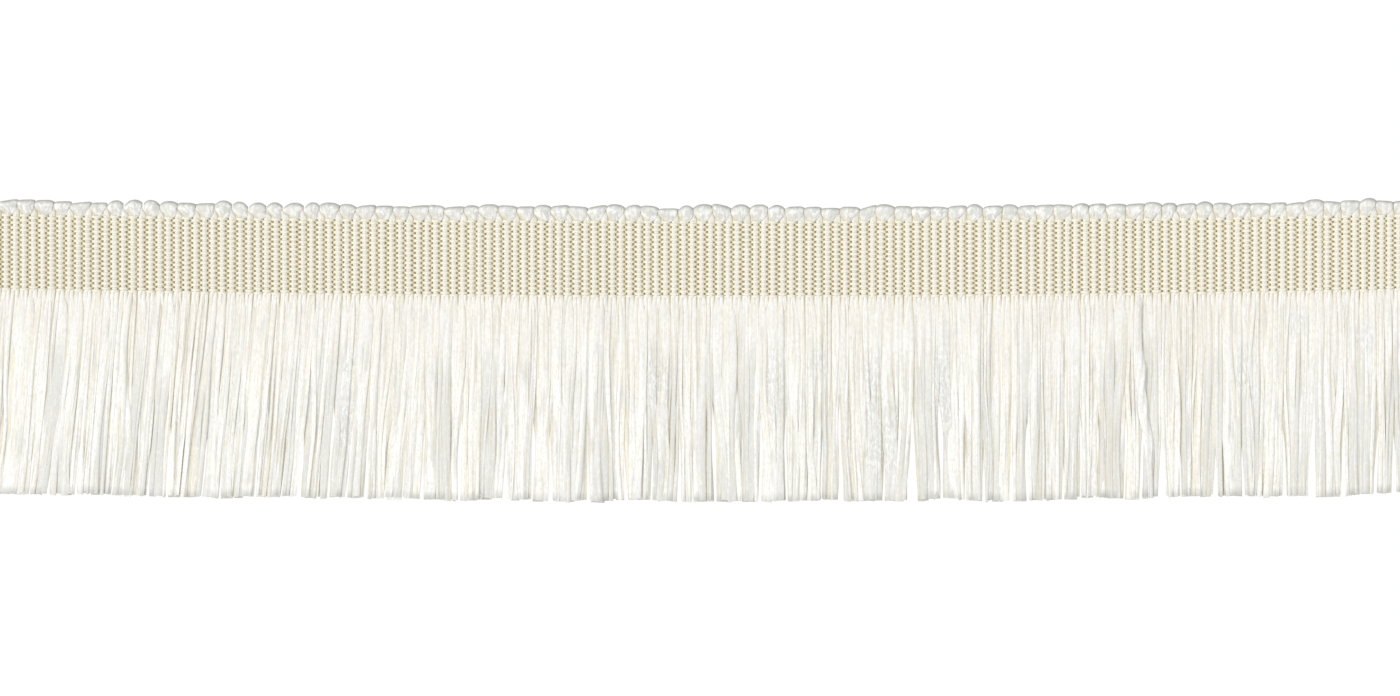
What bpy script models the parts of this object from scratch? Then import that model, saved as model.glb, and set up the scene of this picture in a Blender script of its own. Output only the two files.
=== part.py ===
"""Raffia fringe trim: a ribbed woven heading, raffia loops along its top edge and a skirt of strands.

The trim lies flat on its back. X runs along it, Y points from the strands' tips to the loops and Z is
up, out of its face. The origin is the centre of the trim's box, at the height of the table.
"""

import random

import bmesh
import bpy
import numpy as np
from mathutils import Vector

MM = 0.001

# The weave: one raffia pick to a rib, and one loop to a pair of ribs
RIBS = 160
RIB_PITCH = 2.283 * MM
LENGTH = RIBS * RIB_PITCH
LOOPS = RIBS // 2
CLEARANCE = 0.3 * MM

# Heading
HEADING_HEIGHT = 19.6 * MM
VALLEY_THICKNESS = 1.15 * MM
CREST_THICKNESS = 1.75 * MM
CREST_UNEVENNESS = 0.08 * MM

# Loops along the top edge
LOOP_HEIGHT = 3.6 * MM
LOOP_THICKNESS = 2.1 * MM
LOOP_SLANT = 0.22
LOOP_UNEVENNESS = 0.07

# Skirt: a narrow strip under the heading that holds the strands' roots
STRIP_HEIGHT = 1.3 * MM
STRIP_THICKNESS = 1.5 * MM
STRIP_STEPS = 16
ROOT_DEPTH = 0.7 * MM
SKIRT_DEPTH = 52.2 * MM
TIP_UNEVENNESS = 0.7 * MM
STRAND_WIDTH = 1.85 * MM
STRAND_WIDTH_UNEVENNESS = 0.08 * MM
STRAND_THICKNESS = 0.5 * MM
FRONT_ROOT_LEVEL = 1.1 * MM
BACK_ROOT_LEVEL = 0.38 * MM
TABLE_LEVEL = STRAND_THICKNESS / 2
STACKED_LEVEL = TABLE_LEVEL + STRAND_THICKNESS + CLEARANCE
BEND_DEPTHS = (6 * MM, 30 * MM)
GAP_REACH = 14 * MM

# Of every eight ribs, those that have a second strand behind the first
BACKED_RIBS = (1, 4, 6)
BACKING_REPEAT = 8

# The trim lies in a shallow curve, lowest a little right of its middle
SAG_DEPTH = 1.8 * MM
SAG_REACH = 179 * MM
SAG_LOWEST = 6 * MM

# Along a rib, from its left valley
RIB_PROFILE = (
    # place in the pitch, share of the way from valley to crest
    (0.00, 0.0),
    (0.27, 1.0),
    (0.73, 1.0),
)

# Along a loop, from the notch on its left
LOOP_OUTLINE = (
    # place in the loop, share of its height, share of its thickness
    (0.00, 0.55, 0.50),
    (0.14, 0.88, 0.90),
    (0.48, 1.00, 1.00),
    (0.86, 0.93, 0.88),
)

# Round a loop, from the underside of its foot over the rounded edge to the foot's top
LOOP_SECTION = (
    # share of the height, share of the thickness
    (0.00, 0.00),
    (0.80, 0.00),
    (1.00, 0.45),
    (0.75, 1.00),
    (0.00, 0.80),
)

# How far the strands lean along the trim for each unit of depth
LEAN = (
    # place along the trim in mm, slope
    (-183, -0.085),
    (-102, -0.080),
    (-63, -0.045),
    (-12, 0.000),
    (183, 0.000),
)

# Where the skirt parts into locks
PARTINGS = (
    # valley between ribs, depth in mm where it opens, width in mm at the tips
    (20, 43, 0.5),
    (26, 46, 0.8),
    (59, 45, 0.8),
    (78, 43, 0.9),
    (96, 45, 0.8),
    (104, 31, 2.3),
    (132, 38, 0.8),
    (138, 43, 1.0),
    (149, 24, 2.3),
    (158, 37, 0.8),
)

CREAM = (0.76, 0.71, 0.57)
PEARL = (0.79, 0.77, 0.70)
IVORY = (0.87, 0.86, 0.80)


def sag(x):
    """How far the lying curve lifts a point above the trim's lowest place."""
    return SAG_DEPTH * ((x - SAG_LOWEST) / SAG_REACH) ** 2


def loft(mesh, rings):
    """Skin one closed body through rings of as many points each, with a flat cap at both ends."""
    sections = [[mesh.verts.new(point) for point in ring] for ring in rings]
    for near, far in zip(sections, sections[1:]):
        for i, corner in enumerate(near):
            after = (i + 1) % len(near)
            mesh.faces.new((corner, near[after], far[after], far[i]))
    mesh.faces.new(sections[0])
    mesh.faces.new(sections[-1])


def make_object(name, mesh, collection, material=None):
    """Turn a bmesh into an object of its own."""
    bmesh.ops.recalc_face_normals(mesh, faces=mesh.faces)
    data = bpy.data.meshes.new(name)
    mesh.to_mesh(data)
    mesh.free()
    if material:
        data.materials.append(material)
    thing = bpy.data.objects.new(name, data)
    collection.objects.link(thing)
    return thing


def make_material(name, colour, roughness):
    material = bpy.data.materials.new(name)
    material.use_nodes = True
    shader = material.node_tree.nodes["Principled BSDF"]
    shader.inputs["Base Color"].default_value = (*colour, 1)
    shader.inputs["Roughness"].default_value = roughness
    shader.inputs["Metallic"].default_value = 0
    return material


def heading_band(collection):
    """The woven heading: a flat back, and a raised rib over each raffia pick."""
    chance = random.Random(3)
    rise = CREST_THICKNESS - VALLEY_THICKNESS
    rings = []
    for rib in range(RIBS + 1):
        crest_rise = rise + chance.uniform(-CREST_UNEVENNESS, CREST_UNEVENNESS)
        profile = RIB_PROFILE if rib < RIBS else RIB_PROFILE[:1]
        for place, share in profile:
            x = (rib + place) * RIB_PITCH - LENGTH / 2
            thickness = VALLEY_THICKNESS + share * crest_rise
            low, high = sag(x), sag(x) + HEADING_HEIGHT
            rings.append(((x, low, 0), (x, low, thickness), (x, high, thickness), (x, high, 0)))
    mesh = bmesh.new()
    loft(mesh, rings)
    return make_object("heading_band", mesh, collection, make_material("woven_cream", CREAM, 0.85))


def edge_loops(collection):
    """The raffia loops along the top edge, side by side and fused at their feet."""
    chance = random.Random(5)
    pitch = LENGTH / LOOPS
    foot = HEADING_HEIGHT + CLEARANCE
    rings = []
    for loop in range(LOOPS + 1):
        size = 1 + chance.uniform(-LOOP_UNEVENNESS, LOOP_UNEVENNESS)
        outline = LOOP_OUTLINE if loop < LOOPS else LOOP_OUTLINE[:1]
        for place, height_share, thickness_share in outline:
            x = (loop + place) * pitch - LENGTH / 2
            height = LOOP_HEIGHT * height_share * size
            thickness = LOOP_THICKNESS * thickness_share * size
            rings.append([
                (x + LOOP_SLANT * height * up, sag(x) + foot + height * up, thickness * out)
                for up, out in LOOP_SECTION
            ])
    mesh = bmesh.new()
    loft(mesh, rings)
    return make_object("edge_loops", mesh, collection, make_material("raffia_pearl", PEARL, 0.45))


def root_strip(collection):
    """The narrow strip, parted from the heading's lower edge, that the strands hang from."""
    rings = []
    for step in range(STRIP_STEPS + 1):
        x = (step / STRIP_STEPS - 0.5) * LENGTH
        high = sag(x) - CLEARANCE
        low = high - STRIP_HEIGHT
        rings.append(((x, low, 0), (x, low, STRIP_THICKNESS), (x, high, STRIP_THICKNESS), (x, high, 0)))
    mesh = bmesh.new()
    loft(mesh, rings)
    return make_object("raffia_skirt", mesh, collection, make_material("raffia_ivory", IVORY, 0.4))


def drift(root, depth):
    """How far along the trim a strand has moved at a depth, by its lean and by the partings near it."""
    places, slopes = zip(*LEAN)
    shift = float(np.interp(root / MM, places, slopes)) * depth
    for valley, opens, width in PARTINGS:
        offset = root - (valley * RIB_PITCH - LENGTH / 2)
        opened = max(0, (depth - opens * MM) / (SKIRT_DEPTH - opens * MM))
        nearness = max(0, 1 - abs(offset) / GAP_REACH)
        shift += np.sign(offset) * width * MM / 2 * opened * nearness
    return shift


def strand_rings(root, width, tip_depth, root_level, resting_level):
    """Four-cornered sections down one strand, from inside the strip to the cut tip."""
    rings = []
    levels = (root_level, resting_level, resting_level, resting_level)
    for depth, level in zip((ROOT_DEPTH, *BEND_DEPTHS, tip_depth), levels):
        x = root + drift(root, depth)
        y = sag(root) - depth
        rings.append([
            (x + across * width / 2, y, level + out * STRAND_THICKNESS / 2)
            for across, out in ((-1, -1), (1, -1), (1, 1), (-1, 1))
        ])
    return rings


def strands(collection):
    """Every strand, in front and behind, as a body to be joined to the strip."""
    chance = random.Random(7)
    mesh = bmesh.new()
    for rib in range(RIBS):
        root = (rib + 0.5) * RIB_PITCH - LENGTH / 2
        backed = rib % BACKING_REPEAT in BACKED_RIBS
        routes = [(FRONT_ROOT_LEVEL, STACKED_LEVEL if backed else TABLE_LEVEL)]
        if backed:
            routes.append((BACK_ROOT_LEVEL, TABLE_LEVEL))
        for root_level, resting_level in routes:
            width = STRAND_WIDTH + chance.uniform(-STRAND_WIDTH_UNEVENNESS, STRAND_WIDTH_UNEVENNESS)
            tip_depth = SKIRT_DEPTH + chance.uniform(-TIP_UNEVENNESS, TIP_UNEVENNESS)
            loft(mesh, strand_rings(root, width, tip_depth, root_level, resting_level))
    thing = make_object("strands", mesh, collection)
    thing.hide_render = True
    thing.display_type = "WIRE"
    return thing


def join(base, addition):
    union = base.modifiers.new("strands", "BOOLEAN")
    union.operation = "UNION"
    union.solver = "EXACT"
    union.object = addition


def centre_on_origin(things, collection):
    """Hang everything on an empty that puts the middle of the whole box over the origin."""
    corners = np.array([vertex.co for thing in things for vertex in thing.data.vertices])
    middle = (corners.min(axis=0) + corners.max(axis=0)) / 2
    frame = bpy.data.objects.new("trim_frame", None)
    frame.location = Vector((-middle[0], -middle[1], 0))
    collection.objects.link(frame)
    for thing in things:
        thing.parent = frame


def main():
    for old in list(bpy.data.objects):
        bpy.data.objects.remove(old)
    trim = bpy.data.collections.new("raffia_fringe_trim")
    cutters = bpy.data.collections.new("cutters")
    bpy.context.scene.collection.children.link(trim)
    bpy.context.scene.collection.children.link(cutters)

    heading = heading_band(trim)
    loops = edge_loops(trim)
    skirt = root_strip(trim)
    skirt_strands = strands(cutters)
    join(skirt, skirt_strands)
    centre_on_origin((heading, loops, skirt, skirt_strands), trim)


main()
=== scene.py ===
"""Raffia fringe trim, dressed: cream yarns woven over raffia picks, a row of raffia loops along the top
edge and a skirt of flat raffia ribbons, lying face up on a white table.

The pieces are worked out in the trim's own straight frame, in millimetres: x along it from its middle,
y up from the heading's lower edge and z out of its face. place() bends that frame into the shallow curve
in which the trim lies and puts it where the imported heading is.
"""

import math
from types import SimpleNamespace

import bpy
import numpy as np
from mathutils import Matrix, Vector


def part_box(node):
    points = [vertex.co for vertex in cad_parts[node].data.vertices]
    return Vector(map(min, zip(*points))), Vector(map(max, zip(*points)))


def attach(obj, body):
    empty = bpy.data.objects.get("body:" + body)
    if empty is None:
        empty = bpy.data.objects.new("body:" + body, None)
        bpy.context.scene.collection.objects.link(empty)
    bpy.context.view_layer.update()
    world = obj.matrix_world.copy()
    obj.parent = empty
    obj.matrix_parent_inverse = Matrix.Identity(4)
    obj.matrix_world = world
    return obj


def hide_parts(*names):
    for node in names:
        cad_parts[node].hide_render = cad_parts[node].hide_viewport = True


MM = 0.001

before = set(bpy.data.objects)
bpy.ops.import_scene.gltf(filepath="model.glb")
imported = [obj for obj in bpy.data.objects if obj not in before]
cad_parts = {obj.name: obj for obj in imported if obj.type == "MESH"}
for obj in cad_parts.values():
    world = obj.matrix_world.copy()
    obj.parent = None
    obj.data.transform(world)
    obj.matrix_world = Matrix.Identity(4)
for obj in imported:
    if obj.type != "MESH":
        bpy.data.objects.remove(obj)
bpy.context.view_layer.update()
HEADING_LOW, HEADING_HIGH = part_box("heading_band")

# The weave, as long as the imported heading
RIBS = 160
LENGTH = (HEADING_HIGH.x - HEADING_LOW.x) / MM
PITCH = LENGTH / RIBS
HEADING_HEIGHT = 19.6
HEADING_MIDDLE = (HEADING_LOW.x + HEADING_HIGH.x) / 2

# The curve that the trim lies in
SAG_DEPTH = 1.8
SAG_REACH = 179
SAG_LOWEST = 6

# The ribs are not packed quite evenly
PACKING = (
    # place along the trim, how far the ribs there have moved
    (-182.6, 0.00),
    (-173.7, 0.00),
    (-150.4, 0.38),
    (-127.3, 0.54),
    (-104.6, 0.51),
    (-82.0, 0.38),
    (-59.0, 0.41),
    (-36.7, 0.03),
    (-13.9, -0.18),
    (8.9, -0.10),
    (32.2, 0.15),
    (54.9, 0.26),
    (77.7, 0.22),
    (100.2, -0.07),
    (123.3, 0.11),
    (146.1, 0.20),
    (169.4, 0.55),
    (182.6, 0.00),
)

# Where each row of chance numbers starts
RIB_SEED = 10
YARN_SEED = 11
PICK_SEED = 12
LOOP_SEED = 13
PARTING_SEED = 20
LAYER_SEED = 21
SKIRT_SEED = 22
REACH_SEED = 23
WANDER_SEED = 24
TONE_SEED = 25
FRONT_SEED = 31
BACK_SEED = 41
TOP_SEED = 51

# The surface patterns of a piece's tubes start within this distance of one another
PATTERN_SPREAD = 90

# A wave starts anywhere on its turn, which is about this many radians
ANY_TURN = 6.3

# Edges sharper than this, in degrees, are not smoothed over
SHARP_ANGLE = 65

# A tube's cell in the texture map: its sides lie between two margins, and its caps in them
CELL_MARGIN = 0.06
CAP_HALF_WIDTH = 0.4
CAP_HALF_HEIGHT = 0.02


def place(points):
    """Points of the straight trim, in millimetres, to where they lie, in metres."""
    x, y, z = np.moveaxis(np.asarray(points, float), -1, 0)
    bent = y + SAG_DEPTH * ((x - SAG_LOWEST) / SAG_REACH) ** 2
    return np.stack([x * MM + HEADING_MIDDLE, bent * MM + HEADING_LOW.y, z * MM], axis=-1)


def rib_place(ribs):
    """How far along the trim a place is that is counted in ribs from the left end."""
    even = np.asarray(ribs) * PITCH - LENGTH / 2
    return even + np.interp(even, *zip(*PACKING))


def smooth_step(value, start, end):
    """From 0 at the start to 1 at the end, level at both."""
    share = np.clip((value - start) / (end - start), 0, 1)
    return share * share * (3 - 2 * share)


def smooth_curve(steps, values):
    """A Catmull-Rom curve through evenly spaced values."""
    padded = np.concatenate([[2 * values[0] - values[1]], values, [2 * values[-1] - values[-2]]])
    whole = np.minimum(steps.astype(int), len(values) - 2)
    share = steps - whole
    a, b, c, d = (padded[whole + k] for k in range(4))
    return 0.5 * (
        2 * b + (c - a) * share + (2 * a - 5 * b + 4 * c - d) * share**2
        + (3 * b - a - 3 * c + d) * share**3
    )


def oval(corners):
    """Corners round a unit circle, as (across, up) pairs."""
    turn = np.linspace(0, 2 * np.pi, corners, endpoint=False)
    return np.cos(turn), np.sin(turn)


def ribbon_section(lanes):
    """Corners round a flat ribbon: how far across, which face and which lane each one is on."""
    lane = np.concatenate([np.arange(lanes), np.arange(lanes - 2, 0, -1)])
    across = 2 * lane / (lanes - 1) - 1
    face = np.zeros(len(lane))
    face[1:lanes - 1] = 1
    face[lanes:] = -1
    return across, face, lane


def bulge(across):
    """How thick a ribbon's section is across it, as a share of its thickness in the middle."""
    return np.sqrt(1.02 - across**2)


def lofted_piece(name, rings, material, columns, **attributes):
    """One mesh of many closed tubes. rings[tube, station, corner] is a point of the straight trim.

    Each attribute has a value for every such point. columns is how many tubes stand side by side in
    the piece's texture map.
    """
    tubes, stations, corners, _ = rings.shape
    index = np.arange(tubes * stations * corners).reshape(tubes, stations, corners)
    near, far = index[:, :-1], index[:, 1:]
    sides = np.stack([near, far, np.roll(far, -1, axis=2), np.roll(near, -1, axis=2)], axis=-1)
    faces = sides.reshape(-1, 4).tolist()
    faces += index[:, 0].tolist()
    faces += index[:, -1, ::-1].tolist()
    mesh = bpy.data.meshes.new(name)
    mesh.from_pydata(place(rings).reshape(-1, 3), [], faces)
    for attribute, values in attributes.items():
        values = np.broadcast_to(values, (tubes, stations, corners))
        layer = mesh.attributes.new(attribute, "FLOAT", "POINT")
        layer.data.foreach_set("value", np.ascontiguousarray(values, np.float32).ravel())
    map_tubes(mesh, tubes, stations, corners, columns)
    mesh.shade_smooth()
    mesh.set_sharp_from_angle(angle=math.radians(SHARP_ANGLE))
    mesh.materials.append(material)
    piece = bpy.data.objects.new(name, mesh)
    bpy.context.scene.collection.objects.link(piece)
    return piece


def map_tubes(mesh, tubes, stations, corners, columns):
    """Lay each tube out flat in a cell of its own of the texture map, with its caps as thin bands."""
    rows = -(-tubes // columns)
    size = np.array([1 / columns, 1 / rows])
    tube = np.arange(tubes)
    origin = np.stack([(tube % columns) / columns, (tube // columns) / rows], axis=-1)
    along = np.linspace(CELL_MARGIN, 1 - CELL_MARGIN, stations)
    across = np.linspace(CELL_MARGIN, 1 - CELL_MARGIN, corners + 1)
    cell = np.stack(np.meshgrid(across, along), axis=-1)
    quads = np.stack([cell[:-1, :-1], cell[1:, :-1], cell[1:, 1:], cell[:-1, 1:]], axis=2)
    sides = origin[:, None, None, None] + quads * size
    right, up = oval(corners)
    disc = np.stack([0.5 + CAP_HALF_WIDTH * right, CELL_MARGIN / 2 + CAP_HALF_HEIGHT * up], axis=-1)
    first = origin[:, None] + disc * size
    last = origin[:, None] + (disc[::-1] + np.array([0, 1 - CELL_MARGIN])) * size
    places = np.concatenate([part.reshape(-1) for part in (sides, first, last)])
    layer = mesh.uv_layers.new(name="OFBake")
    layer.uv.foreach_set("vector", places.astype(np.float32))


# Materials

# A mix node's colour sockets, which share their names with those of other kinds
MIX_FIRST = 6
MIX_SECOND = 7
MIX_RESULT = 2


class Shader:
    """A Principled material and short ways to add nodes to it."""

    def __init__(self, name):
        self.material = bpy.data.materials.new(name)
        self.material.use_nodes = True
        self.tree = self.material.node_tree
        self.surface = self.tree.nodes["Principled BSDF"]

    def add(self, kind, **settings):
        node = self.tree.nodes.new(kind)
        for setting, value in settings.items():
            setattr(node, setting, value)
        return node

    def feed(self, socket, source):
        if hasattr(source, "is_linked"):
            self.tree.links.new(source, socket)
        else:
            socket.default_value = source

    def attribute(self, name):
        return self.add("ShaderNodeAttribute", attribute_name=name).outputs["Fac"]

    def math(self, operation, *values):
        node = self.add("ShaderNodeMath", operation=operation)
        for socket, value in zip(node.inputs, values):
            self.feed(socket, value)
        return node.outputs["Value"]

    def vector(self, x, y, z):
        node = self.add("ShaderNodeCombineXYZ")
        for socket, value in zip(node.inputs, (x, y, z)):
            self.feed(socket, value)
        return node.outputs["Vector"]

    def noise(self, vector, scale=1.0, detail=3.0, roughness=0.55, distortion=0.0):
        node = self.add("ShaderNodeTexNoise")
        self.feed(node.inputs["Vector"], vector)
        node.inputs["Scale"].default_value = scale
        node.inputs["Detail"].default_value = detail
        node.inputs["Roughness"].default_value = roughness
        node.inputs["Distortion"].default_value = distortion
        return node.outputs["Fac"]

    def ramp(self, value, *stops):
        node = self.add("ShaderNodeValToRGB")
        elements = node.color_ramp.elements
        while len(elements) < len(stops):
            elements.new(0.5)
        for element, (position, colour) in zip(elements, stops):
            element.position = position
            element.color = (*colour, 1)
        self.feed(node.inputs["Fac"], value)
        return node.outputs["Color"]

    def stretch(self, value, low, high):
        node = self.add("ShaderNodeMapRange")
        self.feed(node.inputs["Value"], value)
        node.inputs["From Min"].default_value = low
        node.inputs["From Max"].default_value = high
        return node.outputs["Result"]

    def mix(self, share, first, second):
        node = self.add("ShaderNodeMix", data_type="RGBA", blend_type="MIX")
        self.feed(node.inputs["Factor"], share)
        self.feed(node.inputs[MIX_FIRST], first if hasattr(first, "is_linked") else (*first, 1))
        self.feed(node.inputs[MIX_SECOND], second if hasattr(second, "is_linked") else (*second, 1))
        return node.outputs[MIX_RESULT]

    def bump(self, height, strength, distance):
        node = self.add("ShaderNodeBump")
        self.feed(node.inputs["Height"], height)
        node.inputs["Strength"].default_value = strength
        node.inputs["Distance"].default_value = distance
        self.feed(self.surface.inputs["Normal"], node.outputs["Normal"])


# Painted light and shade on the yarn's cream: deep tan low down where it dives between the ribs, pale on
# the crests
YARN_COLOURS = (
    # how far up the rib, colour
    (0.20, (0.63, 0.545, 0.35)),
    (0.46, (0.75, 0.65, 0.43)),
    (0.68, (0.89, 0.835, 0.64)),
    (0.95, (0.895, 0.865, 0.755)),
)
YARN_BLOTCHES = 0.5
YARN_FIBRE_SCALE = 2.2
YARN_FIBRE_HEIGHT = 0.8
YARN_TWISTS = 7.5
YARN_BUMP = 0.4
YARN_RELIEF = 0.05 * MM
YARN_ROUGHNESS = 0.85
YARN_SHINE = 0.25


def yarn_material():
    """Cream cotton, matt, with painted light and shade: pale on the crests, deep tan down between the ribs.
    """
    shader = Shader("cream_yarn")
    along = shader.attribute("along")
    around = shader.attribute("around")
    seed = shader.attribute("seed")
    rise = shader.attribute("rise")
    fibre = shader.noise(shader.vector(along, around, seed), YARN_FIBRE_SCALE)
    # The rise attribute carries painted shade, low between the ribs and high on the crests
    evened = shader.math("SUBTRACT", rise, YARN_BLOTCHES / 2)
    shade_and_blotches = shader.math("MULTIPLY_ADD", fibre, YARN_BLOTCHES, evened)
    shader.feed(shader.surface.inputs["Base Color"], shader.ramp(shade_and_blotches, *YARN_COLOURS))
    shader.surface.inputs["Roughness"].default_value = YARN_ROUGHNESS
    shader.surface.inputs["Specular IOR Level"].default_value = YARN_SHINE
    twist = shader.math("SINE", shader.math("ADD", shader.math("MULTIPLY", along, YARN_TWISTS), around))
    height = shader.math("ADD", twist, shader.math("MULTIPLY", fibre, YARN_FIBRE_HEIGHT))
    shader.bump(height, YARN_BUMP, YARN_RELIEF)
    return shader.material


# Painted shade: a darker cream from 25 mm along each piece of raffia to its start
PAINTED_ROOT_SHADE = (0.81, 0.78, 0.73)
# Painted shade: thin tan lines for the shade in the film's fine creases
PAINTED_CREASE_SHADE = (0.76, 0.71, 0.56)
# Painted highlight: pale glints flecked over the film
GLINT = (1.0, 0.995, 0.97)
FLECK_GREY = (0.76, 0.74, 0.66)
# Painted highlight on the folds of crumpled raffia
PAINTED_FOLD_HIGHLIGHT = (0.98, 0.98, 0.96)
# Painted shade: tan along rims, between the roots and in creases, where the edge attribute is high
PAINTED_EDGE_SHADE = (0.65, 0.58, 0.385)
# Painted shade: grey at the cut ends of ribbons, over the tops of the loops and in the twisted strand's
# folds
PAINTED_END_SHADE = (0.36, 0.37, 0.35)
CRUMPLE_SHARE = 0.7
FINE_CREASES = 0.4
SMOOTH_WRINKLES = 0.25
CRUMPLED_WRINKLES = 1.2
RAFFIA_BUMP = 0.6
RAFFIA_RELIEF = 0.25 * MM
RAFFIA_ROUGHNESS = 0.28
RAFFIA_ROUGHNESS_RANGE = 0.35


def raffia_material(
    name, grey, white, ivory, streak=None, shade=(0.62, 0.63, 0.61), wrinkle_scale=1.1,
):
    """Raffia: a satin film with lengthwise creases, pale grey, white or ivory, with painted shade: tan
    along its edges and in fine crease lines, darker cream near the start of a piece, grey at cut ends and
    folds; and painted highlights in glints and on crumpled folds.
    """
    shader = Shader(name)
    along = shader.attribute("along")
    across = shader.attribute("across")
    seed = shader.attribute("seed")
    tint = shader.attribute("tint")
    end = shader.attribute("end")
    edge = shader.attribute("edge")
    crumple = shader.attribute("crumple")

    def film(across_scale, along_scale, scale, detail, roughness, distortion=0.0):
        """Noise over the ribbon, drawn out along it."""
        x = shader.math("MULTIPLY", across, across_scale)
        y = shader.math("MULTIPLY", along, along_scale)
        return shader.noise(shader.vector(x, y, seed), scale, detail, roughness, distortion)

    streaks = film(1.0, 0.07, 1.5, 3.0, 0.55)
    fine = film(1.0, 0.07, 3.6, 3.0, 0.6)
    patch = film(0.5, 0.09, 1.0, 2.0, 0.5)
    wrinkle = film(1.0, 0.35, wrinkle_scale, 4.0, 0.6, 0.6)
    fleck = film(1.0, 0.5, 1.9, 3.0, 0.6)

    # Of these layers the first is painted shade near the start of a piece, the fine tan lines are painted
    # crease shade and the glints painted highlights; the grey patches, ivory streaks and grey flecks are
    # the film's own
    layers = (
        # pattern, where it starts to show, where it shows most, how much it shows there, colour
        (along, 25, 6, 0.4, PAINTED_ROOT_SHADE),
        (patch, 0.55, 0.72, 1.0, grey),
        (streaks, 0.50, 0.66, 0.5, streak or ivory),
        (fine, 0.52, 0.82, 1.0, PAINTED_CREASE_SHADE),
        (fleck, 0.46, 0.30, 0.5, GLINT),
        (fleck, 0.50, 0.74, 0.8, FLECK_GREY),
    )
    surface = shader.ramp(tint, (0.0, grey), (0.30, white), (0.60, white), (1.0, ivory))
    for pattern, start, full, most, colour in layers:
        share = shader.math("MULTIPLY", shader.stretch(pattern, start, full), most)
        surface = shader.mix(share, surface, colour)
    # Crumpled raffia gets painted shade in its wrinkles and painted highlights on its folds
    crinkle_light_and_shade = shader.ramp(wrinkle, (0.32, shade), (0.47, grey), (0.59, PAINTED_FOLD_HIGHLIGHT))
    surface = shader.mix(shader.math("MULTIPLY", crumple, CRUMPLE_SHARE), surface, crinkle_light_and_shade)
    # The edge attribute paints tan shade along rims, at roots and in creases
    surface = shader.mix(edge, surface, PAINTED_EDGE_SHADE)
    # The end attribute paints grey shade
    surface = shader.mix(end, surface, PAINTED_END_SHADE)
    shader.feed(shader.surface.inputs["Base Color"], surface)
    roughness = shader.math("MULTIPLY_ADD", streaks, RAFFIA_ROUGHNESS_RANGE, RAFFIA_ROUGHNESS)
    shader.feed(shader.surface.inputs["Roughness"], roughness)
    creases = shader.math("MULTIPLY_ADD", fine, FINE_CREASES, streaks)
    wrinkling = shader.math("MULTIPLY_ADD", crumple, CRUMPLED_WRINKLES, SMOOTH_WRINKLES)
    wrinkles = shader.math("MULTIPLY", wrinkle, wrinkling)
    shader.bump(shader.math("ADD", creases, wrinkles), RAFFIA_BUMP, RAFFIA_RELIEF)
    return shader.material


# Heading

WEAVE_LEVEL = 0.9
RIB_UNEVENNESS = 0.085

WARP_ENDS = 31
WARP_PITCH = HEADING_HEIGHT / WARP_ENDS
WARP_RISE = 0.71
WARP_HALF_WIDTH = 0.31
WARP_HALF_THICKNESS = 0.17
WARP_CORNERS = 6
WARP_SHIFT = 0.045
WARP_UNEVENNESS = 0.04
WARP_MOST_RISE = 1.05
WARP_PATTERN_STEP = 3.7
WARP_MAP_COLUMNS = 1

# Along a yarn over or under one rib, from the valley on its left
WARP_WAVE = (
    # place in the pitch, share of the rise, share of the width, share of the thickness
    (0.00, 0.00, 0.88, 1.15),
    (0.13, 0.64, 1.04, 1.10),
    (0.36, 0.98, 1.02, 1.00),
    (0.64, 0.98, 1.02, 1.00),
    (0.87, 0.64, 1.04, 1.10),
)

PICK_STATIONS = 14
PICK_CORNERS = 12
PICK_HALF_WIDTH = 0.67
PICK_HALF_THICKNESS = 0.60
PICK_CREASE = 0.07
PICK_CREASE_LIMITS = (-1.5, 1.0)
PICK_TINTS = (0.1, 0.8)
PICK_MAP_COLUMNS = 40


def rib_places():
    """Where the middle of each rib lies, and the valley on its left: the weave is not quite even."""
    chance = np.random.default_rng(RIB_SEED)
    middle = rib_place(np.arange(RIBS) + 0.5) + chance.normal(0, RIB_UNEVENNESS, RIBS)
    valley = np.concatenate([[-LENGTH / 2], (middle[1:] + middle[:-1]) / 2, [LENGTH / 2]])
    return middle, valley


def warp_yarns(name, ends, material):
    """Yarns that run along the trim, over one pick and under the next."""
    ends = np.array(ends)
    chance = np.random.default_rng(ends[0] + YARN_SEED)
    steps = len(WARP_WAVE)
    pitch_share, rise_share, width_share, thickness_share = np.tile(np.array(WARP_WAVE), (RIBS, 1)).T
    rib = np.repeat(np.arange(RIBS), steps)
    _, valley = rib_places()
    x = valley[rib] + pitch_share * (valley[rib + 1] - valley[rib])
    side = np.where((rib + ends[:, None]) % 2 == 0, 1, -1)
    stitch = np.repeat(chance.normal(0, 1, (len(ends), RIBS)), steps, axis=1)
    y = (ends[:, None] + 0.5) * WARP_PITCH + WARP_SHIFT * stitch * rise_share
    height = 1 + WARP_UNEVENNESS * np.repeat(chance.normal(0, 1, (len(ends), RIBS)), steps, axis=1)
    rise = side * rise_share * WARP_RISE * np.minimum(height, WARP_MOST_RISE)
    across, up = oval(WARP_CORNERS)
    rings = np.empty((len(ends), len(rib), WARP_CORNERS, 3))
    rings[..., 0] = x[None, :, None]
    rings[..., 1] = y[..., None] + WARP_HALF_WIDTH * width_share[:, None] * across
    rings[..., 2] = WEAVE_LEVEL + rise[..., None] + WARP_HALF_THICKNESS * thickness_share[:, None] * up
    # Painted light and shade: rise is high where the yarn rides over a rib or faces down, low where it
    # dives between the ribs
    painted_light_side = np.where((side[..., None] > 0) | (up < -0.5), 1, -1)
    return lofted_piece(
        name, rings, material, WARP_MAP_COLUMNS,
        along=x[None, :, None],
        around=np.linspace(0, 2 * np.pi, WARP_CORNERS, endpoint=False),
        seed=ends[:, None, None] * WARP_PATTERN_STEP,
        rise=0.5 + 0.5 * painted_light_side * rise_share[:, None],
    )


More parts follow.
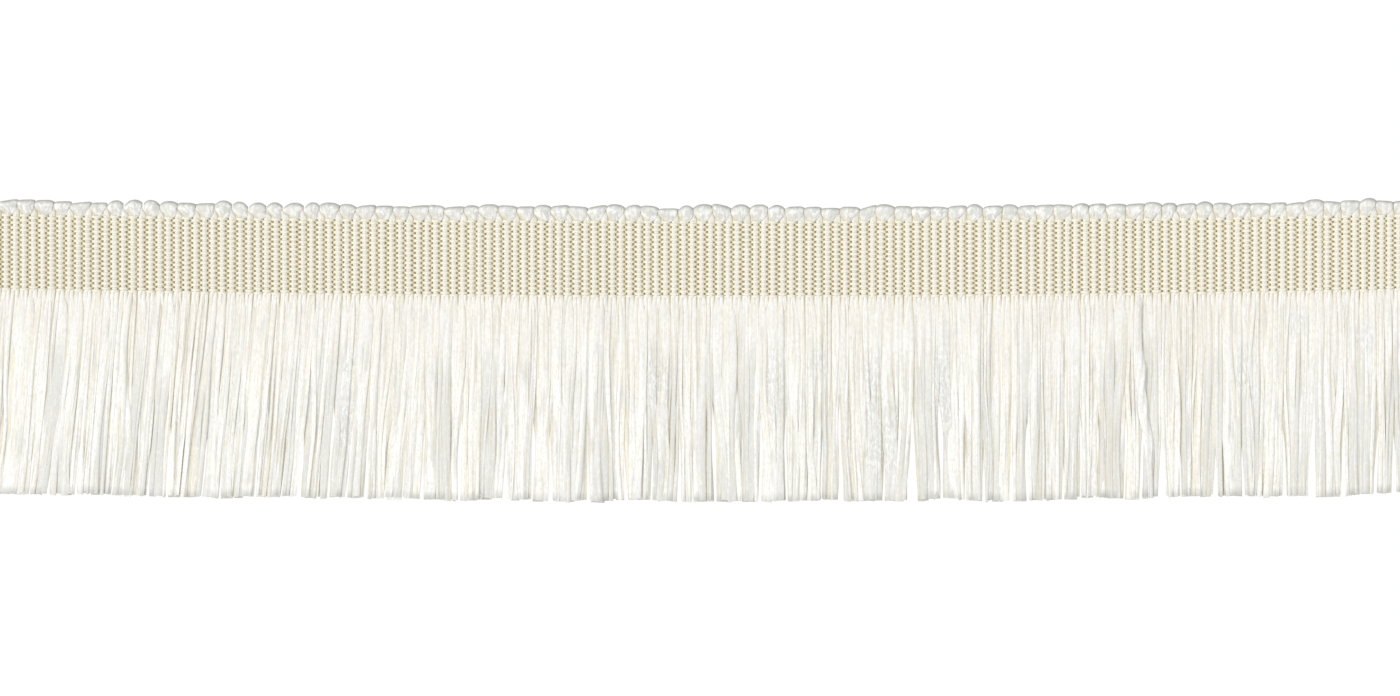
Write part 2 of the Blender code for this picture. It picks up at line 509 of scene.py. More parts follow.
def picks(material):
    """The raffia picks inside the heading, each a flattened bundle with lengthwise creases."""
    chance = np.random.default_rng(PICK_SEED)
    y = np.linspace(0, HEADING_HEIGHT, PICK_STATIONS)
    across, up = oval(PICK_CORNERS)
    centre, _ = rib_places()
    crease = 1 + PICK_CREASE * chance.normal(0, 1, (RIBS, 1, PICK_CORNERS)).clip(*PICK_CREASE_LIMITS)
    rings = np.empty((RIBS, PICK_STATIONS, PICK_CORNERS, 3))
    rings[..., 0] = centre[:, None, None] + PICK_HALF_WIDTH * across * crease
    rings[..., 1] = y[None, :, None]
    rings[..., 2] = WEAVE_LEVEL + PICK_HALF_THICKNESS * up * crease
    return lofted_piece(
        "raffia_picks", rings, material, PICK_MAP_COLUMNS,
        along=y[None, :, None],
        across=across * PICK_HALF_WIDTH,
        tint=chance.uniform(*PICK_TINTS, (RIBS, 1, 1)),
        seed=chance.uniform(0, PATTERN_SPREAD, (RIBS, 1, 1)),
        end=0.0,
        edge=0.0,
        crumple=0.0,
    )


# Loops

LOOPS = RIBS // 2
LOOP_LANES = 10
LOOP_STATIONS = 25
LOOP_MAP_COLUMNS = 16

# How large the surface pattern takes a loop's raffia to be, across and for each row of its way
LOOP_HALF_WIDTH = 1.8
LOOP_STEP_LENGTH = 2.2

# The way of one loop's raffia: up out of its left pick, over the top and down behind to the right pick
LOOP_WAY = (
    # left x, left y, right x, right y, z, half thickness, share of the arch
    (-1.80, -0.60, -0.30, -0.60, 0.95, 0.45, 0.0),
    (-2.00, 0.15, 0.40, 0.00, 1.10, 0.42, 0.0),
    (-2.20, 0.95, 1.15, 0.70, 1.25, 0.34, 0.2),
    (-2.32, 2.05, 1.78, 1.80, 1.25, 0.26, 0.6),
    (-2.32, 2.90, 2.15, 2.85, 1.08, 0.22, 0.9),
    (-2.24, 3.16, 2.24, 3.16, 0.80, 0.20, 1.0),
    (-1.70, 2.90, 2.27, 2.90, 0.66, 0.20, 0.9),
    (-0.60, 1.80, 2.30, 1.80, 0.80, 0.26, 0.4),
    (0.40, 0.60, 2.42, 0.60, 0.94, 0.34, 0.0),
    (0.50, -0.60, 2.38, -0.60, 0.94, 0.38, 0.0),
)

# What is left to chance in each loop
LOOP_CHANCES = {
    # measure: least, most
    "height": (-0.05, 0.03),
    "overlap": (0.0, 0.4),
    "round arch": (0.6, 0.9),
    "flat arch": (0.15, 0.5),
    "round power": (2.2, 3.0),
    "flat power": (3.0, 6.0),
    "square lift": (0.2, 0.5),
    "lift": (-0.25, 0.25),
    "fullness": (-0.4, 0.45),
    "nearness": (-0.15, 0.15),
    "crease": (0.08, 0.22),
    # how much painted tan shade shows at the outer feet
    "foot": (0.4, 1.0),
    "tint": (0.0, 0.6),
    "crumple": (0.8, 1.25),
}
SQUARE_SHARE = 0.2
ROUND_SHARE = 0.25

# The loops at the left end are all square
SQUARE_LOOPS = 8

# Loops that stand out from the row
RAISED_LOOPS = {
    # loop: share of the usual height, how much higher its right side is
    34: (1.08, 0.9),
    35: (1.15, -0.2),
    41: (1.08, -0.6),
}

# Loops that are round, and narrow enough to stand apart
ROUND_LOOPS = (7, 8, 9, 13, 14, 15, 16, 17, 18, 39, 42, 44, 55, 68)
ROUND_HEIGHT = 0.93
ROUND_WIDTH = 0.9
ROUND_ARCH = 1.0
ROUND_POWER = 2.2

# How far the loops' tops lean along the trim
LOOP_LEAN = (
    # place along the trim, lean
    (-182, -0.7),
    (-117, -1.1),
    (-50, -1.0),
    (-17, -0.45),
    (50, -0.1),
    (182, 0.0),
)

# How far the places where two loops' tops meet stray along the trim, and upwards
BORDER_SHIFT = 0.28
BORDER_MOST_SHIFT = 0.5
BORDER_RISE = 0.22
BORDER_MOST_RISE = 0.4
LEAST_RISE = 0.2
LOOP_PLEAT = 0.06
LOOP_PUFF = 0.2


def loop_borders(chance):
    """Where the tops of two loops meet along the trim, and how much higher than usual."""
    place_along = rib_place(2 * np.arange(LOOPS + 1))
    shift = chance.normal(0, BORDER_SHIFT, LOOPS + 1).clip(-BORDER_MOST_SHIFT, BORDER_MOST_SHIFT)
    border = place_along + np.interp(place_along, *zip(*LOOP_LEAN)) + shift
    rise = chance.normal(0, BORDER_RISE, LOOPS + 1).clip(-BORDER_MOST_RISE, BORDER_MOST_RISE)
    return border, rise


def loop_form(loop, room, chance):
    """What is one loop's own: its height, its width in its room, its top and how it bulges."""
    high = 1 + chance.uniform(*LOOP_CHANCES["height"])
    wide = (room + chance.uniform(*LOOP_CHANCES["overlap"])) / (2 * PITCH)
    square = loop < SQUARE_LOOPS or chance.random() < SQUARE_SHARE
    rounded = not square and chance.random() < ROUND_SHARE
    arch = chance.uniform(*LOOP_CHANCES["round arch" if rounded else "flat arch"])
    power = chance.uniform(*LOOP_CHANCES["round power" if rounded else "flat power"])
    lift = chance.uniform(*LOOP_CHANCES["square lift" if square else "lift"])
    full = chance.uniform(*LOOP_CHANCES["fullness"])
    nearer = chance.uniform(*LOOP_CHANCES["nearness"])
    if loop in RAISED_LOOPS:
        high, lift = RAISED_LOOPS[loop]
    if loop in ROUND_LOOPS:
        high, wide = ROUND_HEIGHT * high, ROUND_WIDTH * wide
        arch, power = ROUND_ARCH, ROUND_POWER
    return SimpleNamespace(
        high=high, wide=wide, arch=arch, power=power, lift=lift, full=full, nearer=nearer,
    )


def loop_pleats(chance):
    """How far each lane of one loop's raffia stands out, in front and behind, with one deep crease."""
    pleats = np.cumsum(chance.normal(0, LOOP_PLEAT, (2, LOOP_LANES)), axis=1)
    pleats -= pleats.mean(axis=1, keepdims=True)
    creased = np.arange(LOOP_LANES) == chance.integers(2, LOOP_LANES - 2)
    depth = creased * chance.uniform(*LOOP_CHANCES["crease"])
    pleats[chance.integers(0, 2)] -= depth
    return pleats


def loop_rings(loop, steps, way, front, border, border_rise, chance):
    """The sections of one loop along its way."""
    across, face, lane = ribbon_section(LOOP_LANES)
    share = (across + 1) / 2
    left_x, left_y, right_x, right_y, level, half_thickness, arched = way.T[..., None]
    centre = rib_place(2 * loop + 1)
    form = loop_form(loop, border[loop + 1] - border[loop], chance)
    shift = (border[loop] + border[loop + 1]) / 2 - centre
    upper = smooth_step(left_y, 0.2, 2.2)
    belly = front * smooth_step(left_y, -0.4, 0.6) * smooth_step(left_y, 2.6, 1.0)
    x = left_x * (1 - share) + (right_x + form.full * belly) * share
    x = x * (1 + (form.wide - 1) * upper) + shift * upper
    rise = border_rise[loop] * (1 - share) + border_rise[loop + 1] * share + LEAST_RISE
    top = rise + form.arch * (1 - np.abs(across) ** form.power) + form.lift * across / 2
    y = (left_y * (1 - share) + right_y * share) * form.high + arched * top
    pleats = loop_pleats(chance)
    turn = smooth_step(steps, 1, 5)[:, None]
    pleat = ((1 - turn) * pleats[0] + turn * pleats[1])[:, lane] * (0.4 + 0.6 * front) * upper
    puff = LOOP_PUFF * (1 - across**2) * arched * front
    z = level + half_thickness * face * bulge(across) + pleat + puff
    return np.stack([x + centre, y + HEADING_HEIGHT, z + form.nearer * upper], axis=-1)


def loop_looks(steps, way, front, chance):
    """The loops' painted light and shade: dark over the top, tan at the outer foot and along the sides, a
    shine below the top, greyer low in the front, and the back leg ivory.
    """
    across, _, _ = ribbon_section(LOOP_LANES)
    share = (across + 1) / 2
    left_y = way[:, 1, None]
    each = (LOOPS, 1, 1)
    # Painted shade: a dark band over the top of each loop
    fold = smooth_step(steps, 3.4, 4.2) * smooth_step(steps, 5.4, 4.4)
    outer = front * (1 - share) ** 3 + (1 - front) * share**3
    # Painted shade: tan low down at the outer sides of each loop, in the gaps between loops
    foot = smooth_step(left_y, 1.9, 0.5) * outer * chance.uniform(*LOOP_CHANCES["foot"], each)
    # Painted highlight: a shine band below the top; painted shade greys the front low down
    gleam = np.exp(-((steps[:, None] - 3.2) / 0.6) ** 2)
    shine = 0.7 * gleam - 0.3 - 0.5 * smooth_step(left_y, 2.2, 1.2)
    return {
        "along": (steps * LOOP_STEP_LENGTH)[None, :, None],
        "across": across * LOOP_HALF_WIDTH,
        # The back leg is ivory throughout, as painted light
        "tint": (chance.uniform(*LOOP_CHANCES["tint"], each) + shine) * front + 1 - front,
        "seed": chance.uniform(0, PATTERN_SPREAD, each),
        "end": 0.8 * fold[None, :, None],
        "edge": np.clip(0.25 * np.abs(across) ** 12 + foot, 0, 1),
        "crumple": chance.uniform(*LOOP_CHANCES["crumple"], each) * (0.4 + 0.6 * front),
    }


def loops(material):
    """One puffed raffia loop for each pair of picks."""
    chance = np.random.default_rng(LOOP_SEED)
    steps = np.linspace(0, len(LOOP_WAY) - 1, LOOP_STATIONS)
    way = np.stack([smooth_curve(steps, column) for column in np.array(LOOP_WAY).T], axis=1)
    front = smooth_step(steps, 5.5, 4.5)[:, None]
    border, border_rise = loop_borders(chance)
    rings = np.stack([
        loop_rings(loop, steps, way, front, border, border_rise, chance) for loop in range(LOOPS)
    ])
    looks = loop_looks(steps, way, front, chance)
    return lofted_piece("raffia_loops", rings, material, LOOP_MAP_COLUMNS, **looks)


# Skirt

SKIRT_DEPTH = 52.2
RIBBON_DEPTHS = np.array([
    -0.5, 0.2, 0.8, 1.5, 2.4, 3.4, 4.6, 6, 8, 10, 12.5, 15, 17.5, 20, 22.5, 25, 27.5, 30, 32.5, 35, 37.5,
    40, 42.5, 45, 47.5, 50, 51.6, 52.2,
])

# Below this depth a ribbon's stations follow its own length
OWN_LENGTH_DEPTH = 10

# How high the ribbons lie above the table: at their roots, where they have fallen flat, and in each layer
ROOT_LEVEL = 1.0
BACK_ROOT_LEVEL = 0.5
FALL_LEVEL = 0.72
FRONT_LEVELS = (0.58, 0.72, 0.86)
BACK_LEVELS = (0.34, 0.48)
TOP_LEVEL = 1.0
LOWEST_LEVEL = 0.02

# Each pick leaves the heading as two strips in front, and a wider ribbon hangs behind each valley
STRIPS = 2 * RIBS
STRIP_OFFSET = 0.24
STRIP_ROOT_WIDTH = 1.16
WIDE_STRIP_SHARE = 0.22
WIDE_STRIP_WIDTHS = (2.2, 3.6)
STRIP_WIDTH_SHAPE = 12
STRIP_WIDTH_SCALE = 0.13
BACK_ROOT_WIDTH = 1.88
BACK_WIDTHS = (2.4, 3.6)
BACK_OFFSETS = (0.1, 0.3)
# Painted shade tans the back ribbons at their roots
BACK_ROOT_SHADE = 0.8
TOP_RIBBONS = 110
TOP_ROOT_WIDTH = 0.8
TOP_WIDTHS = (0.5, 1.3)
TOP_OFFSET = 0.3
RIBBON_POINTS = 8
TOP_POINTS = 6
SKIRT_MAP_COLUMNS = 20

# How far past the skirt's depth a ribbon reaches by itself and with its neighbours, as a share of it
OWN_REACH_MEAN = -0.006
OWN_REACH_SPREAD = 0.004
OWN_REACH_LIMITS = (-0.018, 0.010)
SHARED_REACH_SPREAD = 0.005
SHARED_REACH_LIMITS = (-0.012, 0.006)

# How many ribs share a lock, and how many a light or a dark stretch
LOCK_WIDTHS = (1.2, 4.0)
TONE_WIDTHS = (0.9, 3.8)

# How far the ribbons stray along the trim, and how their width and height change on the way down
WANDER = 0.5
BEND = 0.3
BEND_HALF_TURNS = (0.8, 2.5)
BREADTH_SWAY = 0.2
BREADTH_PACES = (0.06, 0.2)
LEVEL_SWAY = 0.09
LEVEL_PACES = (0.1, 0.3)

# The depths between which a gathered root opens to the ribbon's width, and flattens
OPENING = (-0.8, 6)
FLATTENING = (-0.2, 3.5)

# Half a ribbon's thickness at its gathered root, and where it is flat
ROOT_HALF_THICKNESS = 0.35
HALF_THICKNESSES = (0.05, 0.08)

# The creases along a ribbon, its pleats, the hollow across it and the slant of its cut end
CREASED_SHARE = 0.25
CREASE_SHARPNESS = (0.4, 1)
CREASE_PACES = (0.12, 0.32)
CREASE_DEPTH = 0.09
PLEAT_SETS = 4
PLEAT_DEPTH = 0.04
PLEAT_LANE_WIDTH = 0.25
CUP_MEAN = -0.04
CUP_SPREAD = 0.07
TIP_SLANT = 0.09

# How much painted shade shows: tan on a ribbon's rims, at its root and in its creases, and grey at its cut
# end
RIM_SHADE = 0.46
ROOT_SLIT_SHADE = 0.8
ROOT_SHADE_DEPTH = 4.2
CREASE_SHADE = 0.5
TIP_SHADES = (0.05, 0.65)

# The ribbons' tints, from 0 for grey to 1 for ivory: how they spread, what the root adds and the depth
# takes away, and how far they swing between light and dark stretches above and at the tips
TINT_CURVE = (1.3, 1.1)
ROOT_TINT = 0.2
TINT_LOSS = 0.53
UPPER_SWING = 0.68
TIP_SWING = 0.2
TONE_STRENGTHS = (0.1, 1.0)

# How grey the grey strands turn, and between which depths
GREY_SHARES = (0.6, 1)
GREYING_STARTS = (3, 12)
GREYING_ENDS = (16, 26)

# How far the strands lean along the trim for each millimetre of depth
LEAN = (
    # place along the trim, slope
    (-183, -0.085),
    (-102, -0.080),
    (-63, -0.045),
    (-12, 0.000),
    (183, 0.000),
)

# Where the skirt parts into locks
PARTINGS = (
    # valley between ribs, depth where it opens, width at the tips
    (9, 44, 0.7),
    (20, 42, 0.7),
    (37, 42, 0.9),
    (44, 40, 1.0),
    (50, 42, 1.1),
    (59, 42, 1.3),
    (64, 43, 1.2),
    (68, 44, 0.9),
    (78, 42, 1.1),
    (96, 38, 1.5),
    (104, 29, 2.7),
    (132, 36, 1.9),
    (138, 42, 1.1),
    (146, 42, 0.6),
    (149, 25, 1.0),
    (152, 44, 0.7),
    (158, 36, 1.4),
)
PARTING_REACH = 14
MOST_ASIDE = 2.4

# Further, smaller partings that open only near the tips, 2 to 4 valleys apart
SMALL_PARTING_START = 3
SMALL_PARTING_STEPS = (2, 5)
SMALL_PARTING_DEPTHS = (38, 46)
SMALL_PARTING_WIDTHS = (0.1, 0.85)

# Strands that are grey and thin below their upper part, by the rib that they hang from
GREY_STRANDS = (8, 20, 25, 35, 41, 51, 57, 66, 81, 89, 93, 99, 105, 118, 126, 130, 137, 141, 150, 157)

# Crumpled stretches of raffia
CRUMPLED = (
    # rib, depth where it starts and where it ends
    (29, 30, 36),
    (41, 12, 40),
    (75, 14, 30),
    (88, 12, 34),
    (93, 12, 22),
    (99, 14, 46),
    (101, 24, 46),
    (107, 12, 38),
    (141, 14, 28),
    (147, 4, 12),
    (154, 8, 16),
)

# One silvery strand that twists on its way over its neighbours
TWISTED_STRAND = (
    # depth, place along the trim
    (-0.5, 113.3),
    (1.3, 113.1),
    (11.0, 113.0),
    (14.7, 113.3),
    (24.3, 113.5),
    (29.5, 114.0),
    (34.3, 114.8),
    (37.8, 115.4),
    (45.5, 115.9),
    (52.0, 116.1),
)
TWISTED_WIDTH = 2.2
TWISTED_THICKNESS = 0.9
TWISTED_LEVEL = 1.15
TWISTED_STATIONS = 90
TWISTED_CORNERS = 24
TWISTED_SMOOTHING = 9
TWISTED_PATTERN = 7.0
TWISTED_CRUMPLE = 0.25
RIDGES = 3
RIDGE_HEIGHT = 0.2
TURNS = 1.2


def drift(root, depth):
    """How far along the trim a strand has moved at a depth, by its lean and by the partings near it."""
    shift = np.interp(root, *zip(*LEAN)) * depth
    for valley, opens, width in PARTINGS:
        offset = root - rib_place(valley)
        opened = np.clip((depth - opens) / (SKIRT_DEPTH - opens), 0, None)
        nearness = np.clip(1 - np.abs(offset) / PARTING_REACH, 0, 1)
        shift = shift + np.sign(offset) * width / 2 * opened * nearness
    return shift


def small_partings():
    """The rows of the smaller partings, none of them beside a large one."""
    chance = np.random.default_rng(PARTING_SEED)
    valley = SMALL_PARTING_START
    rows = []
    while valley < RIBS - 2:
        row = (valley, chance.uniform(*SMALL_PARTING_DEPTHS), chance.uniform(*SMALL_PARTING_WIDTHS))
        if min(abs(valley - large[0]) for large in PARTINGS) > 1:
            rows.append(row)
        valley += int(chance.integers(*SMALL_PARTING_STEPS))
    return rows


ALL_PARTINGS = (*small_partings(), *PARTINGS)


def clear_partings(root, depth, centre, half_width):
    """Lean ribbons aside until none crosses a parting."""
    for valley, opens, width in ALL_PARTINGS:
        gap = rib_place(valley)
        side = np.where(root >= gap, 1, -1)
        opened = np.clip((depth - opens) / (SKIRT_DEPTH - opens), 0, 1)
        rim = side * (gap + drift(gap, depth)) + width / 2 * opened
        over = rim - (side * centre - half_width)
        near = np.abs(root - gap) < PARTING_REACH / 2
        most = np.where((depth > opens - 1) & near, over, 0).max(axis=1, keepdims=True)
        centre = centre + side * np.clip(most, 0, MOST_ASIDE) * smooth_step(depth, 0.5 * opens, opens)
    return centre


def locks(lanes, seed, spread):
    """A value for each lane that strands close together share."""
    chance = np.random.default_rng(seed)
    knots = np.cumsum(chance.uniform(*LOCK_WIDTHS, RIBS))
    return np.interp(lanes, knots, chance.normal(0, spread, RIBS))


def light_and_dark(lanes):
    """Up to 1 for light and down to -1 for dark, by turns along the lanes, a few strands each."""
    chance = np.random.default_rng(TONE_SEED)
    knots = np.cumsum(chance.uniform(*TONE_WIDTHS, RIBS))
    return np.interp(lanes, knots, np.resize([1, -1], RIBS) * chance.uniform(*TONE_STRENGTHS, RIBS))


def sway(depth, slowest, fastest, chance):
    """A wave down each ribbon, with a pace and a start of its own."""
    pace = chance.uniform(slowest, fastest, (len(depth), 1))
    return np.sin(depth * pace + chance.uniform(0, ANY_TURN, (len(depth), 1)))


def skirt_share(depth):
    """How far down the skirt a depth is, from 0 to 1."""
    return np.clip(depth / SKIRT_DEPTH, 0, 1)


def flatness(depth):
    """From a gathered root to a flat ribbon."""
    return smooth_step(depth, *FLATTENING)


def looseness(depth):
    """How freely a ribbon lies: close at the root, and more so further down."""
    return 0.48 + 0.35 * smooth_step(depth, 8, 32)


def ribbon_depths(lanes, chance):
    """The depths of each ribbon's stations, and the share of the skirt's depth that it reaches."""
    own_reach = chance.normal(OWN_REACH_MEAN, OWN_REACH_SPREAD, (len(lanes), 1)).clip(*OWN_REACH_LIMITS)
    shared_reach = locks(lanes, REACH_SEED, SHARED_REACH_SPREAD)[:, None].clip(*SHARED_REACH_LIMITS)
    reach = 1 + own_reach + shared_reach
    return RIBBON_DEPTHS * np.where(RIBBON_DEPTHS > OWN_LENGTH_DEPTH, reach, 1), reach


def ribbon_routes(lanes, depth, widths, root_width, chance):
    """Where each ribbon's middle runs along the trim, and its half width there."""
    each = (len(lanes), 1)
    root = rib_place(lanes + 0.5)[:, None]
    share = skirt_share(depth)
    wander = (chance.normal(0, WANDER, each) + locks(lanes, WANDER_SEED, WANDER)[:, None]) * share
    bend = chance.normal(0, BEND, each) * np.sin(np.pi * share * chance.uniform(*BEND_HALF_TURNS, each))
    centre = root + drift(root, depth) + wander + bend
    opened = smooth_step(depth, *OPENING)
    breadth = 1 + BREADTH_SWAY * sway(depth, *BREADTH_PACES, chance)
    half_width = (1 - opened) * root_width / 2 + opened * widths[:, None] / 2 * breadth
    return clear_partings(root, depth, centre, half_width), half_width


def ribbon_levels(depth, level, root_level, chance):
    """How high each ribbon's middle lies, and its half thickness there."""
    flat = flatness(depth)
    loose = looseness(depth)
    thin = chance.uniform(*HALF_THICKNESSES, (len(depth), 1))
    half_thickness = (1 - flat) * ROOT_HALF_THICKNESS + flat * thin
    height = (1 - flat) * root_level + flat * (FALL_LEVEL + loose * (level - FALL_LEVEL))
    return height + LEVEL_SWAY * loose * flat * sway(depth, *LEVEL_PACES, chance), half_thickness


def ribbon_creases(depth, points, chance):
    """How sharply each lane of each ribbon is creased along its length, from 0 to 1."""
    count = len(depth)
    inner = (np.arange(points) > 0) & (np.arange(points) < points - 1)
    creased = inner * (chance.random((count, points)) < CREASED_SHARE)
    sharpness = creased * chance.uniform(*CREASE_SHARPNESS, (count, points))
    phase = chance.uniform(0, ANY_TURN, (count, 1, points))
    pace = chance.uniform(*CREASE_PACES, (count, 1, points))
    return sharpness[:, None] * np.clip(0.5 + 0.8 * np.sin(depth[..., None] * pace + phase), 0, 1)


def ribbon_pleats(depth, widths, points, chance):
    """How far each lane of each ribbon stands out, from a few sets of pleats down its length."""
    pleats = np.cumsum(chance.normal(0, 1, (len(depth), PLEAT_SETS, points)), axis=2)
    pleats -= pleats.mean(axis=2, keepdims=True)
    along = skirt_share(depth) * (PLEAT_SETS - 1)
    step = np.minimum(along.astype(int), PLEAT_SETS - 2)
    part = (along - step)[..., None]
    ribbon = np.arange(len(depth))[:, None]
    pleat = (1 - part) * pleats[ribbon, step] + part * pleats[ribbon, step + 1]
    lane_width = (widths / points)[:, None, None]
    return pleat * (PLEAT_DEPTH * looseness(depth)[..., None] * lane_width / PLEAT_LANE_WIDTH)


def ribbon_rim_shade(lanes, depth, across, root_shade):
    """The painted tan shade along each ribbon's rims, deepest at the root between two ribs."""
    at_root = smooth_step(depth, ROOT_SHADE_DEPTH, 0)[..., None]
    outer = np.clip(np.sign(lanes - np.round(lanes))[:, None, None] * across, 0, 1) ** 3
    rim = RIM_SHADE * np.abs(across) ** 8 * (1 - 0.25 * skirt_share(depth)[..., None])
    return rim + at_root * (ROOT_SLIT_SHADE * outer + root_shade)


def ribbon_tints(lanes, depth, chance):
    """From grey through white to ivory: ivory near the root, in lights and darks further down."""
    each = (len(lanes), 1)
    near_grey = np.abs(lanes[:, None] - np.array(GREY_STRANDS)).min(axis=1)
    greyness = chance.uniform(*GREY_SHARES, len(lanes)) * smooth_step(near_grey, 1.6, 0.5)
    start = chance.uniform(*GREYING_STARTS, each)
    greying = smooth_step(depth, start, chance.uniform(*GREYING_ENDS, each))
    swing = UPPER_SWING * smooth_step(depth, 0, 18) + TIP_SWING * smooth_step(depth, 34, 48)
    tone = swing * light_and_dark(lanes)[:, None]
    tint = chance.beta(*TINT_CURVE, each) + ROOT_TINT - TINT_LOSS * skirt_share(depth) + tone
    return np.clip(tint, 0, 1) * (1 - greyness[:, None] * greying)


def crumpling(lanes, depth):
    """How much each ribbon is crumpled down its length, from 0 to 1."""
    crumple = np.zeros_like(depth)
    for rib, start, stop in CRUMPLED:
        span = smooth_step(depth, start - 3, start + 4) * smooth_step(depth, stop + 3, stop - 4)
        near = smooth_step(np.abs(lanes - rib), 1.4, 0.6)[:, None]
        crumple = np.maximum(crumple, span * near)
    return crumple


def ribbons(
    name, lanes, level, widths, root_level, root_width, points, material, seed, root_shade=0.0,
):
    """Flat raffia ribbons that fall from the heading's lower edge at the given lanes."""
    chance = np.random.default_rng(seed)
    each = (len(lanes), 1, 1)
    depth, reach = ribbon_depths(lanes, chance)
    centre, half_width = ribbon_routes(lanes, depth, widths, root_width, chance)
    height, half_thickness = ribbon_levels(depth, level, root_level, chance)

    across, face, lane = ribbon_section(points)
    crease = ribbon_creases(depth, points, chance)
    pleat = ribbon_pleats(depth, widths, points, chance)
    cup = chance.normal(CUP_MEAN, CUP_SPREAD, each) * (across**2 - 0.35)
    fold = (pleat - CREASE_DEPTH * crease)[:, :, lane] + cup
    thick = half_thickness[..., None] * face * bulge(across)
    cut = smooth_step(skirt_share(depth), 0.96, 1)[..., None]
    slant = chance.normal(0, TIP_SLANT, each) * across * cut
    rings = np.empty((len(lanes), len(RIBBON_DEPTHS), len(across), 3))
    rings[..., 0] = centre[..., None] + half_width[..., None] * across
    rings[..., 1] = slant - depth[..., None]
    lying = height[..., None] + thick + flatness(depth)[..., None] * fold
    rings[..., 2] = np.maximum(lying, LOWEST_LEVEL)

    # Painted shade in the creases joins that on the rims
    edge = ribbon_rim_shade(lanes, depth, across, root_shade) + CREASE_SHADE * crease[:, :, lane]
    # Painted shade: each ribbon turns grey over its last 2.2 mm
    tip = smooth_step(depth - SKIRT_DEPTH * reach, -2.2, 0)[..., None]
    return lofted_piece(
        name, rings, material, SKIRT_MAP_COLUMNS,
        along=depth[..., None],
        across=half_width[..., None] * across,
        tint=ribbon_tints(lanes, depth, chance)[..., None],
        seed=chance.uniform(0, PATTERN_SPREAD, each),
        crumple=crumpling(lanes, depth)[..., None],
        edge=np.clip(edge, 0, 1),
        end=tip * chance.uniform(*TIP_SHADES, each),
    )


def twisted_strand(material):
    """A strand with three soft ridges that wind round it, with painted shade in the troughs between them
    and at its tip.
    """
    depth = np.linspace(TWISTED_STRAND[0][0], TWISTED_STRAND[-1][0], TWISTED_STATIONS)
    stepped = np.interp(depth, *zip(*TWISTED_STRAND))
    padded = np.pad(stepped, TWISTED_SMOOTHING // 2, mode="edge")
    centre = np.convolve(padded, np.full(TWISTED_SMOOTHING, 1 / TWISTED_SMOOTHING), mode="valid")
    turn = np.linspace(0, 2 * np.pi, TWISTED_CORNERS, endpoint=False)
    ridged = 1 + RIDGE_HEIGHT * np.cos(RIDGES * turn)
    # Painted shade in the troughs between the ridges
    folded = np.clip(-np.cos(RIDGES * turn), 0, 1) ** 3
    width = (0.45 + 0.55 * smooth_step(depth, 8, 20)) * (1 - 0.4 * smooth_step(depth, 36, 44))
    thickness = (0.5 + 0.5 * smooth_step(depth, 6, 18)) * (1 - 0.6 * smooth_step(depth, 34, 46))
    wound = turn + (2 * TURNS * np.pi * smooth_step(depth, 4, 46))[:, None]
    across = (TWISTED_WIDTH / 2 * width)[:, None] * ridged * np.cos(wound)
    rings = np.empty((1, len(depth), len(turn), 3))
    rings[0, ..., 0] = centre[:, None] + across
    rings[0, ..., 1] = -depth[:, None]
    rings[0, ..., 2] = TWISTED_LEVEL + (TWISTED_THICKNESS / 2 * thickness)[:, None] * ridged * np.sin(wound)
    return lofted_piece(
        "skirt_twisted", rings, material, 1,
        along=depth[:, None],
        across=across,
        seed=TWISTED_PATTERN,
        crumple=TWISTED_CRUMPLE,
        edge=0.0,
        tint=0.4 * (smooth_step(depth, 13, 20) * smooth_step(depth, 44, 38))[:, None],
        end=0.27 * smooth_step(depth, SKIRT_DEPTH - 3, SKIRT_DEPTH)[:, None] + 0.25 * folded,
    )


def strip_layers():
    """A layer for each strip, never that of its neighbour on the left."""
    chance = np.random.default_rng(LAYER_SEED)
    layers = [0]
    while len(layers) < STRIPS:
        others = [layer for layer in range(len(FRONT_LEVELS)) if layer != layers[-1]]
        layers.append(int(chance.choice(others)))
    return np.array(layers)


def front_ribbons(material, chance):
    """The strips in front, in layers that rest on one another."""
    layers = strip_layers()
    lanes = np.repeat(np.arange(RIBS), 2) + np.tile([-STRIP_OFFSET, STRIP_OFFSET], RIBS)
    widths = np.where(
        chance.random(STRIPS) < WIDE_STRIP_SHARE,
        chance.uniform(*WIDE_STRIP_WIDTHS, STRIPS),
        chance.gamma(STRIP_WIDTH_SHAPE, STRIP_WIDTH_SCALE, STRIPS),
    )
    return [
        ribbons(
            f"skirt_front_{layer + 1}", lanes[layers == layer], level, widths[layers == layer],
            ROOT_LEVEL, STRIP_ROOT_WIDTH, RIBBON_POINTS, material, FRONT_SEED + layer,
        )
        for layer, level in enumerate(FRONT_LEVELS)
    ]


def back_ribbons(material, chance):
    """Wider ribbons behind the valleys between the ribs, every other one in the same layer."""
    pieces = []
    for layer, level in enumerate(BACK_LEVELS):
        lanes = np.arange(layer, RIBS - 1, 2) + 0.5
        lanes += chance.choice([-1, 1], len(lanes)) * chance.uniform(*BACK_OFFSETS, len(lanes))
        widths = chance.uniform(*BACK_WIDTHS, len(lanes))
        pieces.append(ribbons(
            f"skirt_back_{layer + 1}", lanes, level, widths, BACK_ROOT_LEVEL, BACK_ROOT_WIDTH,
            RIBBON_POINTS, material, BACK_SEED + layer, BACK_ROOT_SHADE,
        ))
    return pieces


def top_ribbons(material, chance):
    """Narrow ribbons that lie over the others."""
    ribs = np.sort(chance.choice(RIBS, TOP_RIBBONS, replace=False))
    lanes = ribs + chance.uniform(-TOP_OFFSET, TOP_OFFSET, TOP_RIBBONS)
    widths = chance.uniform(*TOP_WIDTHS, TOP_RIBBONS)
    return ribbons(
        "skirt_top", lanes, TOP_LEVEL, widths, ROOT_LEVEL, TOP_ROOT_WIDTH, TOP_POINTS, material, TOP_SEED,
    )


# Making the pieces

